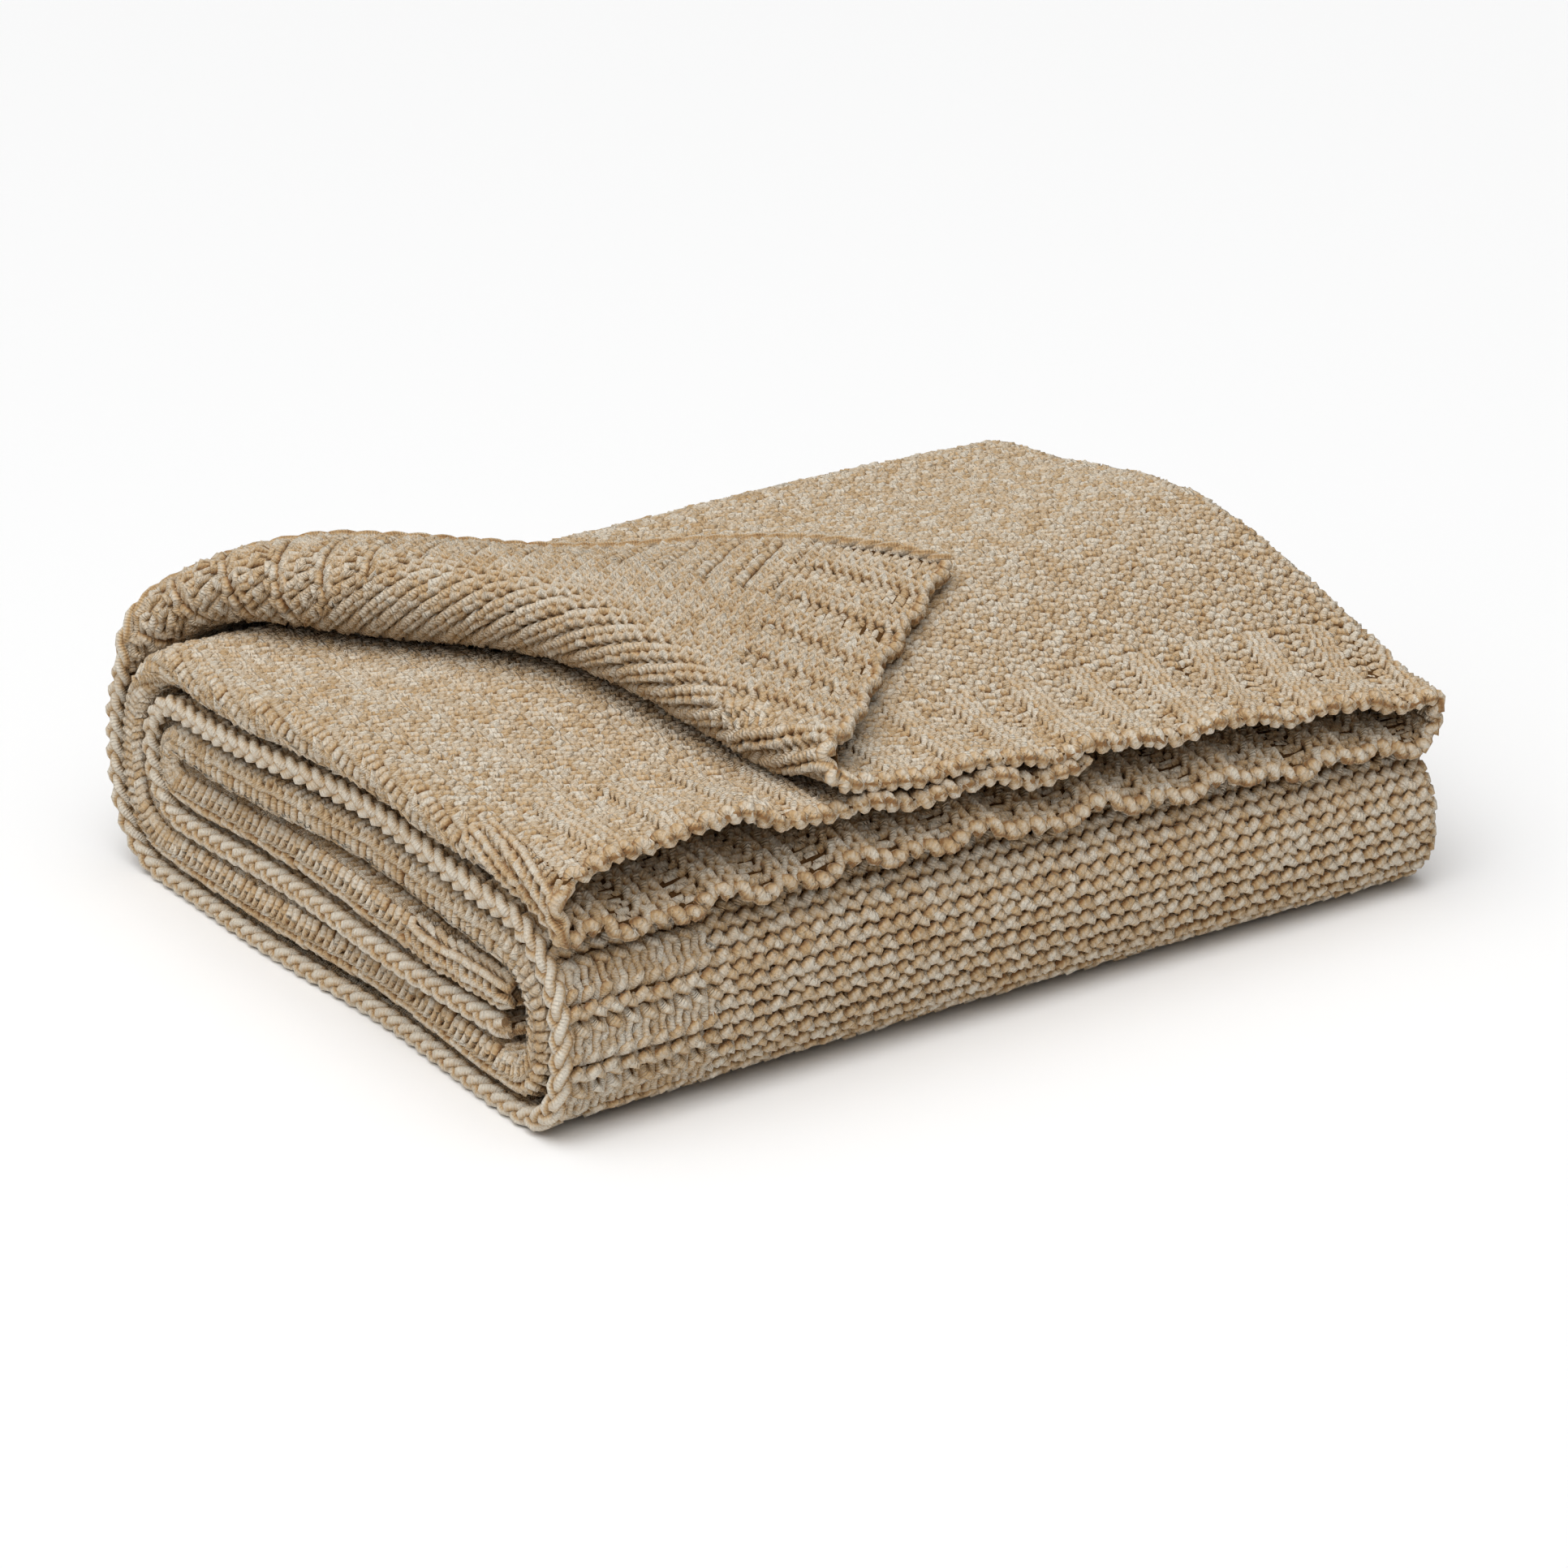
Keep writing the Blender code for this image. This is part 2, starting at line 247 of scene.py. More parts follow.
def folded(w, s):
    # From the flat cloth to the pile: the solid's folds, and the hem's lift at the mouth
    x, rightTurn, leftTurn = across(w)
    turnedX, turnedS, turnedLift = turnedBack(x, s)
    onA = w < aEnd
    x = np.where(onA, turnedX, x)
    s = np.where(onA, turnedS, s)
    lift = np.where(onA, turnedLift, 0.0)

    # Straight sections and half turns
    back = cloth["backThickness"]
    thick = frontThickness(x)
    starts = sectionStarts(x)
    frontY = 1.5 * thick
    backY = cloth["depth"] - 2 * back
    innerY = backY - cloth["innerFoldSetback"]
    y = cloth["hemSetback"] + s
    y = np.where(s > starts[1], backY, y)
    y = np.where(s > starts[2], backY - (s - starts[2]), y)
    y = np.where(s > starts[3], frontY, y)
    y = np.where(s > starts[4], frontY + (s - starts[4]), y)
    y = np.where(s > starts[5], innerY, y)
    y = np.where(s > starts[6], innerY - (s - starts[6]), y)
    reachBack = np.clip((y - frontY) / (backY - frontY), 0.0, 1.0)
    local = thick + (back - thick) * (1.0 - (1.0 - reachBack) ** cloth["risePower"])
    shareX = np.clip(x / cloth["width"], 0.0, 1.0)
    crown = cloth["crownLeft"] + (cloth["crownRight"] - cloth["crownLeft"]) * shareX
    local = local + crown * np.sin(np.pi * reachBack) ** 2

    # Height of the layer above the middle of its section
    half = (local - cloth["layerPitch"]) / 2
    shoulder = 1.5 * thick + cloth["layerPitch"] / 2
    over = np.clip(frontY - y, 0.0, frontY)
    droop = cloth["droopShare"] * (shoulder - np.sqrt(shoulder ** 2 - over ** 2))
    droop = np.where(s < starts[1], droop, 0.0)
    cHeight = -half - droop
    height = half + (cHeight - half) * (1.0 - np.cos(np.pi * rightTurn)) / 2
    hemFade = np.exp(-s / cloth["ruffleFade"])
    bShare = (1.0 - np.cos(np.pi * leftTurn)) / 2
    height = height + (cloth["innerHemLift"] * hemFade - cHeight) * bShare
    begins, fullFrom, fullTo, ends = cloth["mouthLiftAcross"]
    liftShare = smooth((x - begins) / (fullFrom - begins)) * smooth((ends - x) / (ends - fullTo))
    liftShare = liftShare * np.exp(-(s / cloth["mouthLiftAlong"]) ** 2)
    height = height + cloth["mouthLift"] * liftShare * bShare
    ruffle = cloth["ruffleHeight"] * np.sin(2 * np.pi * x / cloth["ruffleLength"])
    height = height + ruffle * hemFade + lift

    # Round the spiral
    outer = np.clip((s - starts[1]) / (starts[2] - starts[1]), 0.0, 1.0) * np.pi
    front = np.clip((s - starts[3]) / (starts[4] - starts[3]), 0.0, 1.0) * np.pi
    inner = np.clip((s - starts[5]) / (starts[6] - starts[5]), 0.0, 1.0) * np.pi
    z = 3.5 * local + height
    fullness = np.where(outer > np.pi / 2, np.sin(2 * outer) ** 2, 0.0)
    outerRadius = (1.5 * back + height) * (1.0 + cloth["lowerFullness"] * fullness)
    z = np.where(s > starts[1], 2 * back + outerRadius * np.cos(outer), z)
    y = y + np.where(s <= starts[2], outerRadius * np.sin(outer), 0.0)
    z = np.where(s > starts[2], 0.5 * local - height, z)
    fullness = np.where(front < np.pi / 2, np.sin(2 * front) ** 2, 0.0)
    frontRadius = (thick + height) * (1.0 + cloth["lowerFullness"] * fullness)
    z = np.where(s > starts[3], 1.5 * thick - frontRadius * np.cos(front), z)
    y = y - np.where(s <= starts[4], frontRadius * np.sin(front), 0.0)
    z = np.where(s > starts[4], 2.5 * local + height, z)
    innerRadius = 0.5 * back + height
    z = np.where(s > starts[5], 2 * back + innerRadius * np.cos(inner), z)
    y = y + np.where(s <= starts[6], innerRadius * np.sin(inner), 0.0)
    z = np.where(s > starts[6], 1.5 * local - height, z)

    # The ends sway and the pile swells
    x = x + waves(s, cloth["leftWaves"]) * (1.0 - x / cloth["width"]) ** 2
    x = x + waves(s, cloth["rightWaves"]) * (x / cloth["width"]) ** 2
    leaning = smooth(y / cloth["rightLeanStart"]) * np.clip(x / cloth["width"], 0.0, None) ** 3
    x = x + cloth["rightLean"] * leaning
    share, lengthX, lengthY, phase = cloth["swell"]
    swell = np.sin(2 * np.pi * x / lengthX + phase) * np.sin(2 * np.pi * y / lengthY)
    z = z + share * (z - cloth["layerPitch"] / 2) * swell
    return np.stack((x, y, z), axis=-1) - pileCentre


def clothFrame(w, s):
    # Point on the middle of the cloth, its outward normal and its direction across
    step = cloth["probe"]
    point = folded(w, s)
    sideways = folded(w + step, s) - folded(w - step, s)
    lengthways = folded(w, s + step) - folded(w, s - step)
    return point, unit(np.cross(sideways, lengthways)), unit(sideways)


def linear(hexColour):
    values = [int(hexColour[place:place + 2], 16) / 255 for place in (1, 3, 5)]
    values = [v / 12.92 if v <= 0.04045 else ((v + 0.055) / 1.055) ** 2.4 for v in values]
    return (*values, 1.0)


def connect(tree, node, inputs):
    # inputs: {name or number: the socket it comes from, or its value}
    for name, value in inputs.items():
        if isinstance(value, bpy.types.NodeSocket):
            tree.links.new(value, node.inputs[name])
        else:
            node.inputs[name].default_value = value


def addNode(tree, kind, inputs=None, **settings):
    node = tree.nodes.new(kind)
    for name, value in settings.items():
        setattr(node, name, value)
    connect(tree, node, inputs or {})
    return node


def newMaterial(name):
    material = bpy.data.materials.new(name)
    material.use_nodes = True
    return material, material.node_tree, material.node_tree.nodes["Principled BSDF"]


# Chenille: short plush pile stands out all round a twisted core. It has no gloss, it glows pale
# at its edges, and its pile lies in fine rings across the yarn.
chenille = {
    "deep": "#966c40",
    "tan": "#c7a77c",
    "cream": "#e1d7c6",
    "stops": (0.00, 0.38, 0.85),
    "heather": 0.0035,          # length of the pale and tan stretches
    "heatherShare": 0.48,
    "fibre": 0.0009,            # tufts of the pile, drawn coarser than real so that they show
    "fibreShare": 0.30,
    "flankShadeShare": 0.70,         # painted shade: the yarn is painted tan and darker on its flanks, where it turns from the cloth's face into the shade of its neighbours, and pale on its crests
    "flankShadeMiddle": 0.75,        # from flank (0) to crest (1), where the painted shade leaves the yarn its middle tone
    "ring": 0.0013,             # spacing of the pile's rings along the yarn
    "ringShare": 0.22,
    "ringTone": 0.05,
    "pile": 0.0011,             # depth of the pile's relief
    "pileStrength": 0.9,
    "roughness": 0.95,
    "specular": 0.15,
    "sheen": 0.30,
    "sheenRoughness": 0.6,
}


def chenilleYarn():
    material, tree, shader = newMaterial("chenille yarn, plush sand")
    place = addNode(tree, "ShaderNodeTexCoord").outputs["Object"]
    patches, tufts = [
        addNode(tree, "ShaderNodeTexNoise",
                {"Vector": place, "Scale": 1 / chenille[size], "Detail": 2.0}).outputs["Fac"]
        for size in ("heather", "fibre")]
    tone, length = [addNode(tree, "ShaderNodeAttribute", attribute_name=name).outputs["Fac"]
                    for name in ("tone", "yarnLength")]
    turns = addNode(tree, "ShaderNodeMath", {0: length, 1: 2 * math.pi / chenille["ring"]},
                    operation="MULTIPLY")
    rings = addNode(tree, "ShaderNodeMath", {0: turns.outputs[0]}, operation="SINE").outputs[0]
    # Painted shade: the yarn darkens where its surface turns from the outward normal, on its flanks,
    # and pales on its crests
    outward = addNode(tree, "ShaderNodeAttribute", attribute_name="outward").outputs["Vector"]
    normal = addNode(tree, "ShaderNodeNewGeometry").outputs["Normal"]
    facing = addNode(tree, "ShaderNodeVectorMath", {0: normal, 1: outward},
                     operation="DOT_PRODUCT").outputs["Value"]
    crest = addNode(tree, "ShaderNodeMath", {0: facing}, operation="ABSOLUTE").outputs[0]
    toneAndShade = 0.5 - (chenille["heatherShare"] + chenille["fibreShare"]) / 2
    toneAndShade = toneAndShade - chenille["flankShadeMiddle"] * chenille["flankShadeShare"]
    for socket, share in ((tone, 1.0), (crest, chenille["flankShadeShare"]), (rings, chenille["ringTone"]),
                          (patches, chenille["heatherShare"]), (tufts, chenille["fibreShare"])):
        toneAndShade = addNode(tree, "ShaderNodeMath", {0: socket, 1: share, 2: toneAndShade},
                        operation="MULTIPLY_ADD").outputs[0]
    # Deep through tan to cream: the yarn's own stretches, heather, tufts and rings, with the painted
    # flank shade added in
    ramp = addNode(tree, "ShaderNodeValToRGB", {"Fac": toneAndShade})
    stops = ramp.color_ramp.elements
    stops.new(0.5)
    for stop, position, colour in zip(stops, chenille["stops"], ("deep", "tan", "cream")):
        stop.position = position
        stop.color = linear(chenille[colour])
    relief = addNode(tree, "ShaderNodeMath", {0: rings, 1: chenille["ringShare"], 2: tufts},
                     operation="MULTIPLY_ADD")
    bump = addNode(tree, "ShaderNodeBump",
                   {"Height": relief.outputs[0], "Strength": chenille["pileStrength"],
                    "Distance": chenille["pile"]})
    connect(tree, shader, {
        "Base Color": ramp.outputs["Color"],
        "Normal": bump.outputs["Normal"],
        "Roughness": chenille["roughness"],
        "Specular IOR Level": chenille["specular"],
        "Sheen Weight": chenille["sheen"],
        "Sheen Roughness": chenille["sheenRoughness"],
        "Sheen Tint": linear(chenille["cream"]),
    })
    return material


def yarnTree():
    # Turns drawn lines into round plush yarn, thicker and thinner by each point's girth
    tree = bpy.data.node_groups.new("yarn along lines", "GeometryNodeTree")
    for label, kind in (("Geometry", "Geometry"), ("Yarn radius", "Float"), ("Sides", "Int"),
                        ("Unevenness", "Float"), ("Seed", "Int"), ("Material", "Material")):
        tree.interface.new_socket(label, in_out="INPUT", socket_type="NodeSocket" + kind)
    tree.interface.new_socket("Geometry", in_out="OUTPUT", socket_type="NodeSocketGeometry")
    source = addNode(tree, "NodeGroupInput").outputs
    lines = addNode(tree, "GeometryNodeMeshToCurve", {"Mesh": source["Geometry"]})
    run = addNode(tree, "GeometryNodeSplineParameter")
    marked = addNode(tree, "GeometryNodeStoreNamedAttribute",
                     {"Geometry": lines.outputs["Curve"], "Name": "yarnLength",
                      "Value": run.outputs["Length"]},
                     data_type="FLOAT", domain="POINT")
    girth = addNode(tree, "GeometryNodeInputNamedAttribute", {"Name": "girth"}, data_type="FLOAT")
    chance = addNode(tree, "FunctionNodeRandomValue",
                     {"Min": -1.0, "Max": 1.0, "Seed": source["Seed"]}, data_type="FLOAT")
    floats = [socket for socket in chance.outputs if socket.type == "VALUE" and socket.enabled]
    spread = addNode(tree, "ShaderNodeMath", {0: floats[0], 1: source["Unevenness"]},
                     operation="MULTIPLY")
    full = addNode(tree, "ShaderNodeMath", {0: spread.outputs[0], 1: girth.outputs["Attribute"]},
                   operation="ADD")
    radius = addNode(tree, "ShaderNodeMath", {0: full.outputs[0], 1: source["Yarn radius"]},
                     operation="MULTIPLY")
    ring = addNode(tree, "GeometryNodeCurvePrimitiveCircle",
                   {"Resolution": source["Sides"], "Radius": 1.0})
    tube = addNode(tree, "GeometryNodeCurveToMesh",
                   {"Curve": marked.outputs["Geometry"], "Profile Curve": ring.outputs["Curve"],
                    "Scale": radius.outputs[0], "Fill Caps": True})
    shaded = addNode(tree, "GeometryNodeSetShadeSmooth", {"Geometry": tube.outputs["Mesh"]})
    real = addNode(tree, "GeometryNodeRealizeInstances", {"Geometry": shaded.outputs[0]})
    finish = addNode(tree, "GeometryNodeSetMaterial",
                     {"Geometry": real.outputs["Geometry"], "Material": source["Material"]})
    addNode(tree, "NodeGroupOutput", {"Geometry": finish.outputs["Geometry"]})
    return tree


yarnMaterial = chenilleYarn()
yarnNodes = yarnTree()
triangleCount = {}


def spin(name, runs, sides, radius):
    # runs: (points, tone, girth, outward normals) for each length of yarn; the material paints the
    # yarn's flanks, turned from the outward normal, in shade
    points = np.concatenate([run[0] for run in runs])
    thickest = radius * knit["floorGap"] * np.concatenate([run[2] for run in runs])
    points[:, 2] = np.maximum(points[:, 2], thickest)    # the bottom is pressed flat
    mesh = bpy.data.meshes.new(name)
    edges = []
    first = 0
    for run in runs:
        count = len(run[0])
        numbers = np.arange(first, first + count - 1)
        edges.append(np.stack((numbers, numbers + 1), axis=-1))
        first += count
    mesh.from_pydata(points.tolist(), np.concatenate(edges).tolist(), [])
    for number, label in ((1, "tone"), (2, "girth")):
        values = np.concatenate([run[number] for run in runs]).astype(np.float32)
        layer = mesh.attributes.new(label, "FLOAT", "POINT")
        layer.data.foreach_set("value", values)
    layer = mesh.attributes.new("outward", "FLOAT_VECTOR", "POINT")
    layer.data.foreach_set("vector", np.concatenate([run[3] for run in runs]).ravel())
    piece = bpy.data.objects.new(name, mesh)
    bpy.context.scene.collection.objects.link(piece)
    nodes = piece.modifiers.new("yarn", "NODES")
    nodes.node_group = yarnNodes
    sockets = {item.name: item.identifier for item in yarnNodes.interface.items_tree
               if item.in_out == "INPUT"}
    for label, value in (("Yarn radius", radius), ("Sides", sides), ("Seed", knit["seed"]),
                         ("Unevenness", knit["girthSpread"]), ("Material", yarnMaterial)):
        nodes[sockets[label]] = value
    graph = bpy.context.evaluated_depsgraph_get()
    real = bpy.data.meshes.new_from_object(piece.evaluated_get(graph), depsgraph=graph)
    piece.modifiers.remove(nodes)
    piece.data = real
    bpy.data.meshes.remove(mesh)
    real.calc_loop_triangles()
    triangleCount[name] = len(real.loop_triangles)
    print(name, len(runs), "lengths of yarn,", triangleCount[name], "triangles")
    return piece


middleStarts = [float(start) for start in sectionStarts(np.array(cloth["width"] / 2))]
stitchWide = cloth["flatWidth"] / knit["columns"]


def rowBounds():
    # Flat places between the rows, from hem to hem
    blend = knit["tautBlend"]
    tautStart, tautEnd = middleStarts[3], middleStarts[4]
    places = [0.0]
    while places[-1] < cloth["flatLength"]:
        high = np.interp(places[-1], (tautStart - blend, tautStart, tautEnd, tautEnd + blend),
                         (knit["rowHigh"], knit["tautRowHigh"], knit["tautRowHigh"], knit["rowHigh"]))
        places.append(places[-1] + float(high))
    return np.array(places) * cloth["flatLength"] / places[-1]


bounds = rowBounds()
rowCount = len(bounds) - 1
rowMiddle = (bounds[1:] + bounds[:-1]) / 2
rowHigh = bounds[1:] - bounds[:-1]
chances = np.random.RandomState(knit["seed"])
gridShape = (rowCount, knit["columns"] + 2)
jitter = {name: chances.normal(0.0, 1.0, gridShape) for name in ("u", "s", "z", "girth")}
heather = chances.uniform(-1.0, 1.0, (rowCount, 2 * knit["columns"] + 4))


def rowsFromHem(row):
    return np.minimum(row, rowCount - 1 - row)


def nearSide(column):
    return (column < knit["sideColumns"]) | (column >= knit["columns"] - knit["sideColumns"])


def faceOut(row, column):
    # 1 where the purl side faces out, -1 where the ribs and welts turn it round
    side = np.ones(np.broadcast(row, column).shape)
    nearHem = rowsFromHem(row) < knit["hemRows"]
    raisedRib = column % knit["ribColumns"] < knit["ribColumns"] // 2
    knitWelt = row % knit["weltRows"] < knit["weltRows"] // 2
    side = np.where(nearHem & raisedRib, -1.0, side)
    return np.where(nearSide(column) & ~nearHem & knitWelt, -1.0, side)


def uneven(name, row, place):
    # The row's chance differences, read at places between its stitches
    return np.interp(place, np.arange(gridShape[1]) - 1, jitter[name][row])


def ribPhase(place):
    # 0 in the middle of a rib
    return 2 * np.pi * (place - 0.5) / knit["ribColumns"]


def ribShare(row):
    # 1 in the hem, fading to 0 in the plain knit
    return np.clip((knit["hemRows"] - rowsFromHem(row)) / knit["ribFade"], 0.0, 1.0)


def bandLift(row, column, side):
    # Knit columns of a rib stand out and purl ones sink. In a welt it is the purl rows that stand out.
    fade = ribShare(row)
    welt = np.where(nearSide(column), side * knit["weltRelief"], 0.0)
    rib = np.where(side < 0, knit["ribRaise"], -knit["ribSink"])
    return rib * fade + welt * (1.0 - fade)


def stitchLine(row, firstColumn, lastColumn, turns):
    # One row's yarn through a run of stitches, as places on the flat cloth and height
    column = np.repeat(np.arange(firstColumn, lastColumn + 1), len(turns))
    turn = np.tile(np.radians(turns), lastColumn + 1 - firstColumn)
    place = column + turn / (2 * np.pi)
    side = faceOut(row, column)
    fromHem = rowsFromHem(row)
    rib = ribPhase(place)
    bulge = np.where(side > 0, knit["bulge"], knit["ropeBulge"])
    u = stitchWide * (place + 0.5) + bulge * np.sin(2 * turn) + knit["lean"] * np.cos(turn)
    u = u - np.where(side > 0, knit["pinch"], knit["ropePinch"]) * np.sin(turn)
    u = u + knit["unevenness"] * uneven("u", row, place) - knit["ribPull"] * np.sin(rib) * ribShare(row)
    reach = rowHigh[row] * np.where(side > 0, knit["overlap"], knit["ropeOverlap"])
    s = rowMiddle[row] + reach * np.cos(turn)
    slant = np.where(side > 0, knit["slant"], 0.0)
    rough = knit["unevenness"] * (1.0 + knit["edgeUnevenness"] * math.exp(-fromHem))
    s = s + slant * np.sin(turn) * np.abs(np.cos(turn)) + rough * uneven("s", row, place)
    outward = -1.0 if row < rowCount / 2 else 1.0
    s = s + outward * knit["scallop"] * np.cos(rib) * math.exp(-fromHem / knit["scallopFade"])
    taut = rowHigh[row] / knit["rowHigh"]
    depth = np.where(side > 0, knit["depth"] * taut, -knit["ropeDepth"])
    height = depth * np.cos(2 * turn) + bandLift(row, column, side)
    height = height + knit["headLift"] * side * np.cos(turn) + rough * uneven("z", row, place)
    tone = knit["tone"] * np.interp(2 * place, np.arange(heather.shape[1]) - 1, heather[row])
    ropeGirth = knit["ropeGirth"][0] + knit["ropeGirth"][1] * np.cos(2 * turn)
    girth = 1.0 + knit["girthSpread"] * uneven("girth", row, place)
    girth = girth * np.where(side > 0, 1.0, ropeGirth) * taut ** knit["tautGirth"]
    return u, s, height, tone, girth


# How far the stitches go on where the cloth disappears from sight
margin = {
    "fold": 0.016,
    "hem": 0.056,
    "mouth": 0.045,
    "selvedge": 0.030,
    "turn": 0.030,              # round the fold on the right
    "corner": 0.012,
    "covered": 0.030,           # under the turned corner
    "bareLength": 0.40,         # flat length in which the inner layer can lie bare
    "leftPart": 0.030,
    "pastFront": 0.050,
}


def underCorner(w, s):
    # Places on layer a that the turned corner covers
    v, d = fromFoldLine(cloth["selvedgeSetback"] + w, s)
    start, radius = rollStart(v)
    past = start - d
    overX, overS = toCloth(v / (1.0 - corner["gather"]), start + np.pi * radius + past)
    fromEdge = overX - cloth["selvedgeSetback"] + topSlide(overS)
    least = margin["covered"]
    return (past > least) & (fromEdge > least) & (overS > least) & (w < aEnd)


def shown(w, s):
    # Stitches that can be seen from outside; the ground stands in for the others
    outside = (w < cStart + margin["fold"]) & (s < middleStarts[4] + margin["mouth"])
    edges = w < margin["selvedge"] - topSlide(s)
    right = np.abs(w - (aEnd + cStart) / 2) < margin["turn"]
    left = np.abs(w - (cEnd + bStart) / 2) < cloth["leftArc"] / 2 + margin["fold"]
    v, d = fromFoldLine(across(w)[0], s)
    bare = (w > bStart) & (s < margin["bareLength"]) & (d > rollStart(v)[0] - margin["corner"])
    return (outside & ~underCorner(w, s)) | edges | right | left | bare | (s < margin["hem"])


def stitchPiece(name, lowS, highS, lowW, highW, turns=knit["loopTurns"], sides=knit["sides"]):
    runs = []
    columns = np.arange(knit["columns"])
    for row, s in enumerate(rowMiddle):
        if not lowS <= s < highS:
            continue
        w = stitchWide * (columns + 0.5) - float(topSlide(s))
        seen = shown(w, np.full(len(w), s)) & (w >= lowW) & (w < highW)
        padded = np.concatenate(([False], seen, [False])).astype(int)
        changes = np.diff(padded)
        for first, end in zip(np.where(changes == 1)[0], np.where(changes == -1)[0]):
            u, along, height, tone, girth = stitchLine(row, first, end - 1, turns)
            point, normal, _ = clothFrame(u - topSlide(along), along)
            runs.append((point + normal * height[:, None], tone, girth, normal))
    return spin(name, runs, sides, knit["yarn"])


low, high = -1.0, 2.0           # beyond the cloth's edges
leftPart = cEnd - margin["leftPart"]     # the layers folded in on the left begin here
pastFront = middleStarts[4] + margin["pastFront"]
stitchPieces = [
    stitchPiece("hem_stitches", 0.0, margin["hem"], low, high),
    stitchPiece("top_stitches", margin["hem"], middleStarts[1], low, leftPart),
    stitchPiece("back_stitches", middleStarts[1], middleStarts[2], low, leftPart),
    stitchPiece("underside_stitches", middleStarts[2], middleStarts[3], low, leftPart,
                knit["pressedTurns"], knit["pressedSides"]),
    stitchPiece("front_stitches", middleStarts[3], pastFront, low, leftPart),
    stitchPiece("inner_stitches", pastFront, high, low, leftPart),
    stitchPiece("left_stitches", margin["hem"], high, leftPart, high),
]

# Cast-on edge along the top hem: one plump coil over the edge for each stitch
castOn = {
    "reach": 0.0009,            # how far the coil swings to and from the edge
    "high": 0.0022,             # how far it swings over and under the cloth
    "inset": 0.0003,            # from the cloth's edge to the coil's middle
    "yarn": 0.0027,
    "sides": 6,
    "samples": 8,               # points a coil
    "relief": 0.0011,           # how far it follows the ribs up and down
    "unevenness": 0.10,
    "tone": 0.15,
}


def castOnEdge():
    place = np.linspace(-0.5, knit["columns"] - 0.5, knit["columns"] * castOn["samples"])
    turn = 2 * np.pi * place
    rib = ribPhase(place)
    u = stitchWide * (place + 0.5) - knit["ribPull"] * np.sin(rib)
    s = castOn["inset"] - knit["scallop"] * np.cos(rib) + castOn["reach"] * np.cos(turn)
    height = castOn["high"] * np.sin(turn) + castOn["relief"] * np.cos(rib)
    rough = knit["unevenness"] * (1.0 + knit["edgeUnevenness"])
    s = s + rough * uneven("s", 0, place)
    height = height + rough * uneven("z", 0, place)
    point, normal, sideways = clothFrame(u - topSlide(s), s)
    point = point + normal * height[:, None]
    outward = unit(normal * np.sin(turn)[:, None] - np.cross(normal, sideways))
    curl = np.arange(knit["columns"] + 1) - 0.5
    plump = np.interp(place, curl, chances.uniform(-1.0, 1.0, len(curl)))
    girth = 1.0 + castOn["unevenness"] * plump
    tone = castOn["tone"] * np.interp(place, curl, chances.uniform(-1.0, 1.0, len(curl)))
    return spin("cast_on_edge", [(point, tone, girth, outward)], castOn["sides"], castOn["yarn"])


stitchPieces.append(castOnEdge())

# Braided side edge: three plump strands laid over each other
braid = {
    "strands": 3,
    "link": 0.0098,             # length of one link
    "high": 0.0030,             # how far strands swing over the cloth's edge and under it
    "deep": 0.0018,             # how far they swing out from it
    "overhang": 0.0015,
    "yarn": 0.0025,
    "sides": 6,
    "samples": 12,              # points in a strand's full turn
    "tone": 0.18,               # paler than the stitches
    "toneSpread": 0.12,
    "girthSpread": 0.10,
}


def braidedEdge():
    runs = []
    turnLength = braid["strands"] * braid["link"]
    count = int(cloth["flatLength"] / turnLength * braid["samples"])
    s = np.linspace(0.0, cloth["flatLength"], count)
    for strand in range(braid["strands"]):
        phase = 2 * np.pi * (s / turnLength + strand / braid["strands"])
        point, normal, sideways = clothFrame(-topSlide(s), s)
        point = point + normal * (braid["high"] * np.sin(phase))[:, None]
        point = point - sideways * (braid["overhang"] + braid["deep"] * np.sin(2 * phase))[:, None]
        tone = braid["tone"] + braid["toneSpread"] * chances.uniform(-1.0, 1.0, count)
        girth = 1.0 + braid["girthSpread"] * np.cos(2 * phase)
        runs.append((point, tone, girth, unit(normal * np.sin(phase)[:, None] - sideways)))
    return spin("braided_edge", runs, braid["sides"], braid["yarn"])


stitchPieces.append(braidedEdge())

# The ground behind the stitches stands in for the same yarn deeper in the knit; it is painted dark
# brown, painted shade for the shade that falls between the stitches
backing = {
    "thickness": 0.0008,
    "stepsAcross": (26, 7, 20, 7, 16),              # layer a, fold, layer c, fold, layer b
    "stepsAlong": (24, 16, 12, 12, 12, 10, 10),     # each run and half turn of the spiral
    "rounds": 4,                # a grid place's w and s depend on each other, and settle in these
    # painted shade: two dark browns for the yarn in shadow between the stitches
    "paintedShadeDark": "#331f0e",
    "paintedShadePale": "#6e4e2b",
    "tuft": 0.0013,
    "relief": 0.0011,
    "reliefStrength": 0.8,
    "roughness": 1.0,
    "specular": 0.1,
}


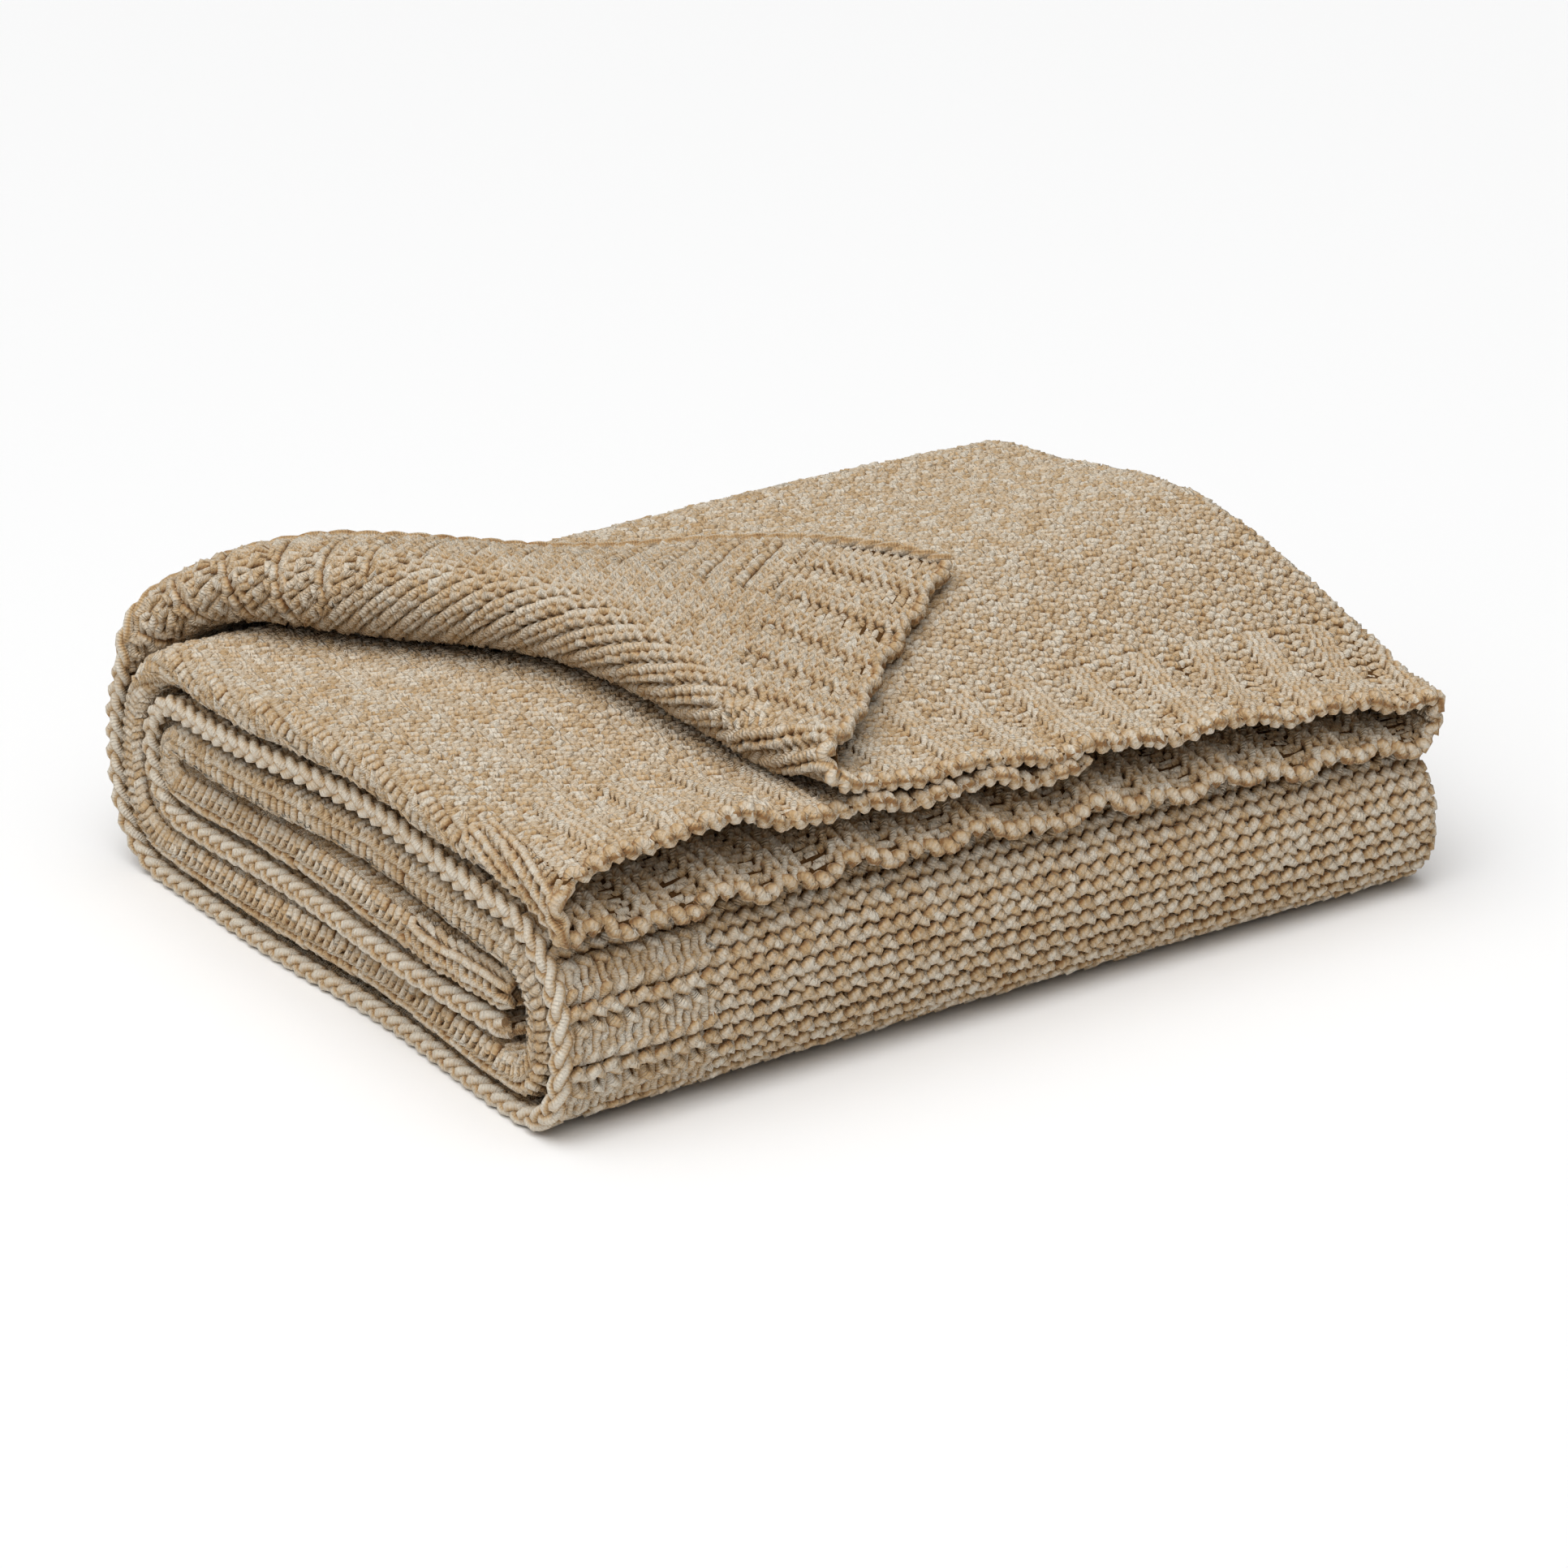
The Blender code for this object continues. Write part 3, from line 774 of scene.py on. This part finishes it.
def groundShadeMaterial():
    material, tree, shader = newMaterial("chenille yarn behind the stitches, painted shade")
    place = addNode(tree, "ShaderNodeTexCoord").outputs["Object"]
    tufts = addNode(tree, "ShaderNodeTexNoise",
                    {"Vector": place, "Scale": 1 / backing["tuft"], "Detail": 2.0}).outputs["Fac"]
    # Tufts of painted shade, mixed from the two dark browns
    ramp = addNode(tree, "ShaderNodeValToRGB", {"Fac": tufts})
    for stop, colour in zip(ramp.color_ramp.elements, ("paintedShadeDark", "paintedShadePale")):
        stop.color = linear(backing[colour])
    bump = addNode(tree, "ShaderNodeBump",
                   {"Height": tufts, "Strength": backing["reliefStrength"],
                    "Distance": backing["relief"]})
    connect(tree, shader, {
        "Base Color": ramp.outputs["Color"],
        "Normal": bump.outputs["Normal"],
        "Roughness": backing["roughness"],
        "Specular IOR Level": backing["specular"],
    })
    return material


def gridShares(steps):
    # Part of the cloth and share of the way through it, for each line of the grid
    shares = [(part, step / count) for part, count in enumerate(steps) for step in range(count)]
    return shares + [(len(steps) - 1, 1.0)]


def groundSheet():
    # One closed sheet, crowded where the cloth bends
    columns = gridShares(backing["stepsAcross"])
    rows = gridShares(backing["stepsAlong"])
    flat = np.zeros((len(rows), len(columns), 2))
    for row, (section, shareAlong) in enumerate(rows):
        for column, (part, shareAcross) in enumerate(columns):
            w = s = 0.0
            for _ in range(backing["rounds"]):
                slide = float(topSlide(s))
                ends = (-slide, aEnd, cStart, cEnd, bStart, cloth["flatWidth"] - slide)
                w = ends[part] + shareAcross * (ends[part + 1] - ends[part])
                starts = sectionStarts(across(w)[0]) + [cloth["flatLength"]]
                s = starts[section] + shareAlong * (starts[section + 1] - starts[section])
            flat[row, column] = (w, s)
    points = folded(flat[..., 0], flat[..., 1]).reshape(-1, 3)
    wide = len(columns)
    faces = []
    for row in range(len(rows) - 1):
        for column in range(wide - 1):
            first = row * wide + column
            faces.append((first, first + 1, first + wide + 1, first + wide))
    mesh = bpy.data.meshes.new("ground")
    mesh.from_pydata(points.tolist(), [], faces)
    mesh.materials.append(groundShadeMaterial())
    mesh.shade_smooth()
    piece = bpy.data.objects.new("ground", mesh)
    bpy.context.scene.collection.objects.link(piece)
    wall = piece.modifiers.new("thickness", "SOLIDIFY")
    wall.thickness = backing["thickness"]
    wall.offset = 0.0
    wall.use_even_offset = True
    wall.use_quality_normals = True
    return piece


ground = groundSheet()
print("ground made,", sum(triangleCount.values()), "triangles of yarn")

for piece in [ground] + stitchPieces:
    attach(piece, "root")
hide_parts("throw")

studio = {
    "azimuth": 35.0,            # the camera stands this far to the left of the front
    "elevation": 21.5,
    "distance": 2.232,
    "target": (-0.0052, -0.0027, 0.0630),
    "photoSide": 1932,          # pixels
    "focal": 6150,              # pixels
    "centre": (953, 915),       # where the target lies in the photograph
    "sensor": 36.0,             # millimetres
    "white": "#ffffff",
    "floor": "#fbfbfb",
    "floorRoughness": 0.9,
    "floorSize": 40.0,
    "floorDrop": 0.0005,
    "horizon": 0.03,            # brightness of the studio at floor level, and added overhead
    "overhead": 3.06,
    "overheadPower": 4.0,
    "lightFrom": (-0.28, -0.16, 0.946),
    "softbox": (-0.9, -0.7, 2.0),
    "softboxSize": (1.4, 1.4),
    "softboxPower": 4.0,        # watts
    "softboxAim": (0.0, 0.0, 0.05),
}


def placeCamera():
    azimuth = math.radians(studio["azimuth"])
    elevation = math.radians(studio["elevation"])
    back = np.array((-math.sin(azimuth) * math.cos(elevation),
                     -math.cos(azimuth) * math.cos(elevation), math.sin(elevation)))
    data = bpy.data.cameras.new("camera")
    data.sensor_width = studio["sensor"]
    data.sensor_height = studio["sensor"]
    data.lens = studio["focal"] / studio["photoSide"] * studio["sensor"]
    half = studio["photoSide"] / 2
    data.shift_x = (half - studio["centre"][0]) / studio["photoSide"]
    data.shift_y = (studio["centre"][1] - half) / studio["photoSide"]
    camera = bpy.data.objects.new("camera", data)
    camera.location = np.array(studio["target"]) + back * studio["distance"]
    camera.rotation_euler = (math.pi / 2 - elevation, 0.0, -azimuth)
    bpy.context.scene.collection.objects.link(camera)
    bpy.context.scene.camera = camera


def placeSoftbox():
    data = bpy.data.lights.new("key", "AREA")
    data.shape = "RECTANGLE"
    data.size, data.size_y = studio["softboxSize"]
    data.energy = studio["softboxPower"]
    data.color = linear(studio["white"])[:3]
    light = bpy.data.objects.new("key", data)
    light.location = studio["softbox"]
    aim = np.array(studio["softboxAim"]) - np.array(studio["softbox"])
    yaw = math.atan2(aim[1], aim[0])
    pitch = math.atan2(math.hypot(aim[0], aim[1]), -aim[2])
    light.rotation_euler = (pitch, 0.0, yaw - math.pi / 2)
    bpy.context.scene.collection.objects.link(light)


def layFloor():
    half = studio["floorSize"] / 2
    mesh = bpy.data.meshes.new("floor")
    mesh.from_pydata([(-half, -half, 0), (half, -half, 0), (half, half, 0), (-half, half, 0)],
                     [], [(0, 1, 2, 3)])
    floor = bpy.data.objects.new("floor", mesh)
    floor.location.z = -studio["floorDrop"]
    bpy.context.scene.collection.objects.link(floor)
    paint, tree, shader = newMaterial("pale studio floor")
    connect(tree, shader, {"Base Color": linear(studio["floor"]),
                           "Roughness": studio["floorRoughness"]})
    mesh.materials.append(paint)


def softDome():
    # A white dome that is brightest overhead
    world = bpy.data.worlds.new("studio")
    world.use_nodes = True
    tree = world.node_tree
    direction = addNode(tree, "ShaderNodeTexCoord").outputs["Generated"]
    facing = addNode(tree, "ShaderNodeVectorMath", {0: direction, 1: studio["lightFrom"]},
                     operation="DOT_PRODUCT")
    above = addNode(tree, "ShaderNodeMath", {0: facing.outputs["Value"], 1: 0.0},
                    operation="MAXIMUM")
    power = addNode(tree, "ShaderNodeMath", {0: above.outputs[0], 1: studio["overheadPower"]},
                    operation="POWER")
    strength = addNode(tree, "ShaderNodeMath",
                       {0: power.outputs[0], 1: studio["overhead"], 2: studio["horizon"]},
                       operation="MULTIPLY_ADD")
    connect(tree, tree.nodes["Background"],
            {"Color": linear(studio["white"]), "Strength": strength.outputs[0]})
    bpy.context.scene.world = world
    bpy.context.scene.view_settings.view_transform = "Standard"


placeCamera()
layFloor()
placeSoftbox()
softDome()
print("studio ready")
